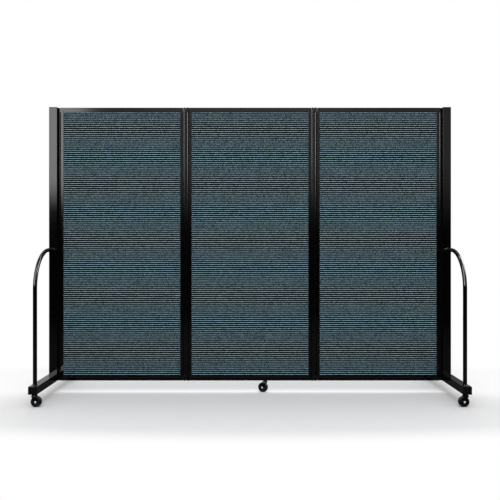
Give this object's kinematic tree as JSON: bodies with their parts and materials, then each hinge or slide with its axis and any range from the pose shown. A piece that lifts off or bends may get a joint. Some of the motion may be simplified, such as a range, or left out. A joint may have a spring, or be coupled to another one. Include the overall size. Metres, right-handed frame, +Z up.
{
  "type": "folding privacy screen on wheels",
  "caption": "Folding privacy screen: fabric panels in slim black frames joined by full-length double hinges, with square end posts, braced T-shaped legs and swivel casters.",
  "frame": {"origin": "on the floor, under the middle of the open screen", "axes": "+X along the open screen from left to right as seen from its front, +Y from the front to the back, +Z up"},
  "size_m": [2.5, 0.72, 1.782],
  "materials": {
    "black_aluminium": "gloss",
    "black_steel": "gloss",
    "panel_fabric": "matte",
    "pin_steel": "satin",
    "zinc_steel": "polished",
    "black_plastic": "matte",
    "fork_nylon": "satin",
    "wheel_rubber": "satin"
  },
  "bodies": {
    "middle_panel": {"panel_2_left_stile": "black_aluminium", "panel_2_right_stile": "black_aluminium", "panel_2_top_rail": "black_aluminium", "panel_2_bottom_rail": "black_aluminium", "panel_2_board": "panel_fabric", "middle_caster_stem": "pin_steel"},
    "hinge_link_1": {"hinge_1_link": "black_aluminium", "hinge_1_left_pin": "pin_steel", "hinge_1_right_pin": "pin_steel"},
    "hinge_link_2": {"hinge_2_link": "black_aluminium", "hinge_2_left_pin": "pin_steel", "hinge_2_right_pin": "pin_steel"},
    "left_panel": {"panel_1_left_stile": "black_aluminium", "panel_1_right_stile": "black_aluminium", "panel_1_top_rail": "black_aluminium", "panel_1_bottom_rail": "black_aluminium", "panel_1_board": "panel_fabric", "left_post": "black_steel", "left_post_cap": "black_plastic", "left_post_strip": "black_plastic", "left_leg": "black_steel", "left_leg_front_cap": "black_plastic", "left_leg_rear_cap": "black_plastic", "left_front_brace": "black_steel", "left_rear_brace": "black_steel", "left_front_caster_stem": "pin_steel", "left_rear_caster_stem": "pin_steel"},
    "right_panel": {"panel_3_left_stile": "black_aluminium", "panel_3_right_stile": "black_aluminium", "panel_3_top_rail": "black_aluminium", "panel_3_bottom_rail": "black_aluminium", "panel_3_board": "panel_fabric", "right_post": "black_steel", "right_post_cap": "black_plastic", "right_post_strip": "black_plastic", "right_leg": "black_steel", "right_leg_front_cap": "black_plastic", "right_leg_rear_cap": "black_plastic", "right_front_brace": "black_steel", "right_rear_brace": "black_steel", "right_front_caster_stem": "pin_steel", "right_rear_caster_stem": "pin_steel"},
    "left_front_fork": {"left_front_caster_fork": "fork_nylon", "left_front_caster_axle": "zinc_steel"},
    "left_front_wheel": {"left_front_caster_wheel": "wheel_rubber"},
    "left_rear_fork": {"left_rear_caster_fork": "fork_nylon", "left_rear_caster_axle": "zinc_steel"},
    "left_rear_wheel": {"left_rear_caster_wheel": "wheel_rubber"},
    "right_front_fork": {"right_front_caster_fork": "fork_nylon", "right_front_caster_axle": "zinc_steel"},
    "right_front_wheel": {"right_front_caster_wheel": "wheel_rubber"},
    "right_rear_fork": {"right_rear_caster_fork": "fork_nylon", "right_rear_caster_axle": "zinc_steel"},
    "right_rear_wheel": {"right_rear_caster_wheel": "wheel_rubber"},
    "middle_fork": {"middle_caster_fork": "fork_nylon", "middle_caster_axle": "zinc_steel"},
    "middle_wheel": {"middle_caster_wheel": "wheel_rubber"}
  },
  "joints": [
    {"name": "hinge_1_inner_turn", "type": "hinge", "parent": "middle_panel", "child": "hinge_link_1", "pos_m": [-0.389, 0, 0.926], "axis": [0, 0, 1], "range_deg": [-90, 90]},
    {"name": "hinge_1_outer_turn", "type": "hinge", "parent": "hinge_link_1", "child": "left_panel", "pos_m": [-0.411, 0, 0.926], "axis": [0, 0, 1], "range_deg": [-90, 90]},
    {"name": "hinge_2_inner_turn", "type": "hinge", "parent": "middle_panel", "child": "hinge_link_2", "pos_m": [0.389, 0, 0.926], "axis": [0, 0, 1], "range_deg": [-90, 90]},
    {"name": "hinge_2_outer_turn", "type": "hinge", "parent": "hinge_link_2", "child": "right_panel", "pos_m": [0.411, 0, 0.926], "axis": [0, 0, 1], "range_deg": [-90, 90]},
    {"name": "left_front_swivel", "type": "hinge", "parent": "left_panel", "child": "left_front_fork", "pos_m": [-1.225, -0.335, 0.065], "axis": [0, 0, 1], "continuous": true},
    {"name": "left_front_roll", "type": "hinge", "parent": "left_front_fork", "child": "left_front_wheel", "pos_m": [-1.212, -0.335, 0.03], "axis": [0, 1, 0], "continuous": true},
    {"name": "left_rear_swivel", "type": "hinge", "parent": "left_panel", "child": "left_rear_fork", "pos_m": [-1.225, 0.335, 0.065], "axis": [0, 0, 1], "continuous": true},
    {"name": "left_rear_roll", "type": "hinge", "parent": "left_rear_fork", "child": "left_rear_wheel", "pos_m": [-1.212, 0.335, 0.03], "axis": [0, 1, 0], "continuous": true},
    {"name": "right_front_swivel", "type": "hinge", "parent": "right_panel", "child": "right_front_fork", "pos_m": [1.225, -0.335, 0.065], "axis": [0, 0, 1], "continuous": true},
    {"name": "right_front_roll", "type": "hinge", "parent": "right_front_fork", "child": "right_front_wheel", "pos_m": [1.212, -0.335, 0.03], "axis": [0, 1, 0], "continuous": true},
    {"name": "right_rear_swivel", "type": "hinge", "parent": "right_panel", "child": "right_rear_fork", "pos_m": [1.225, 0.335, 0.065], "axis": [0, 0, 1], "continuous": true},
    {"name": "right_rear_roll", "type": "hinge", "parent": "right_rear_fork", "child": "right_rear_wheel", "pos_m": [1.212, 0.335, 0.03], "axis": [0, 1, 0], "continuous": true},
    {"name": "middle_swivel", "type": "hinge", "parent": "middle_panel", "child": "middle_fork", "pos_m": [0.094, 0, 0.065], "axis": [0, 0, 1], "continuous": true},
    {"name": "middle_roll", "type": "hinge", "parent": "middle_fork", "child": "middle_wheel", "pos_m": [0.08195, 0.00487, 0.03], "axis": [0.3746, 0.9272, 0], "continuous": true}
  ]
}
